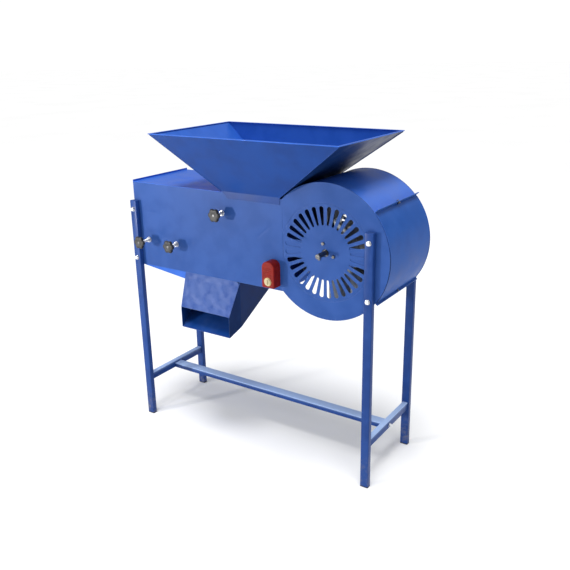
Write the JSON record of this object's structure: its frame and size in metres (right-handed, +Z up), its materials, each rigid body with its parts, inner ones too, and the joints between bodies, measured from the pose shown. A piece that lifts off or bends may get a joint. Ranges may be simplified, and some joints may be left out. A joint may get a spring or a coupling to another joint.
{
  "type": "grain winnower",
  "caption": "Electric grain winnower on tall legs: a fan drum blows through a flat duct under a wide hopper, with knob-set deflectors, an open chaff end and a front grain chute.",
  "frame": {"origin": "on the floor under the middle of the machine's bounding box", "axes": "+Z up; +X along the duct from the open chaff end to the fan drum; +Y from the knob side, where the grain chute is, to the back"},
  "size_m": [1.0828, 0.488, 1.178],
  "materials": {
    "blue_paint": "glossy sprayed enamel over sheet steel",
    "zinc": "bright zinc plate",
    "shaft_steel": "turned steel, darkened with oil",
    "blade_steel": "bare galvanised sheet",
    "black_plastic": "moulded, slightly dull",
    "red_plastic": "moulded, semi-gloss",
    "dial_plastic": "cream moulding",
    "motor_grey": "dark grey machine paint",
    "cast_aluminium": "as cast",
    "core_iron": "stacked laminations"
  },
  "bodies": {
    "machine": {"leg_front_left": "blue_paint", "leg_front_right": "blue_paint", "leg_back_left": "blue_paint", "leg_back_right": "blue_paint", "leg_foot_caps": "black_plastic", "cross_brace_left": "blue_paint", "cross_brace_right": "blue_paint", "tie_bar": "blue_paint", "tie_bar_bolts": "zinc", "leg_bolts": "zinc", "duct_front_panel": "blue_paint", "drum_front_plate": "blue_paint", "duct_back_panel": "blue_paint", "drum_back_plate": "blue_paint", "duct_top_panel": "blue_paint", "duct_floor_left": "blue_paint", "duct_floor_right": "blue_paint", "chute_hood": "blue_paint", "chute_cheek_left": "blue_paint", "chute_cheek_right": "blue_paint", "chute_floor": "blue_paint", "drum_upper_shell": "blue_paint", "drum_side_cover": "blue_paint", "drum_tie_strip": "blue_paint", "seam_bolts": "zinc", "bearing_bar": "blue_paint", "bearing_housing": "zinc", "bearing": "shaft_steel", "bearing_bolts": "zinc", "motor_bar": "blue_paint", "motor_casing": "motor_grey", "motor_shields": "cast_aluminium", "hopper_front_wall": "blue_paint", "hopper_back_wall": "blue_paint", "hopper_left_wall": "blue_paint", "hopper_right_wall": "blue_paint", "hopper_rim_strip": "blue_paint", "feed_plate": "blue_paint", "lock_nuts": "zinc", "switch_box": "red_plastic", "wiring_box": "blue_paint", "wiring_lid": "blue_paint", "run_capacitor": "cast_aluminium", "cable_gland": "black_plastic"},
    "fan": {"fan_shaft": "shaft_steel", "impeller_hub": "shaft_steel", "impeller_spider": "blade_steel", "impeller_blades": "blade_steel", "impeller_ring": "blade_steel", "motor_rotor": "core_iron"},
    "gate": {"gate_shaft": "zinc", "gate_flap": "blade_steel", "gate_knob": "black_plastic"},
    "grain_deflector": {"grain_deflector_shaft": "zinc", "grain_deflector_flap": "blade_steel", "grain_deflector_knob": "black_plastic"},
    "outlet_deflector": {"outlet_deflector_shaft": "zinc", "outlet_deflector_flap": "blade_steel", "outlet_deflector_knob": "black_plastic"},
    "switch_dial": {"switch_dial": "dial_plastic"}
  },
  "joints": [
    {"name": "fan_spin", "type": "hinge", "parent": "machine", "child": "fan", "pos_m": [0.3095, 0.044, 0.813], "axis": [0, 1, 0], "continuous": true},
    {"name": "gate_turn", "type": "hinge", "parent": "machine", "child": "gate", "pos_m": [-0.10923, 0.044, 0.899], "axis": [0, 1, 0], "range_deg": [0, 50]},
    {"name": "grain_deflector_turn", "type": "hinge", "parent": "machine", "child": "grain_deflector", "pos_m": [-0.334, 0.044, 0.755], "axis": [0, 1, 0], "range_deg": [-40, 40]},
    {"name": "outlet_deflector_turn", "type": "hinge", "parent": "machine", "child": "outlet_deflector", "pos_m": [-0.4725, 0.044, 0.755], "axis": [0, 1, 0], "range_deg": [-40, 40]},
    {"name": "switch_turn", "type": "hinge", "parent": "machine", "child": "switch_dial", "pos_m": [0.10727, 0.044, 0.692], "axis": [0, -1, 0], "range_deg": [0, 90]}
  ]
}
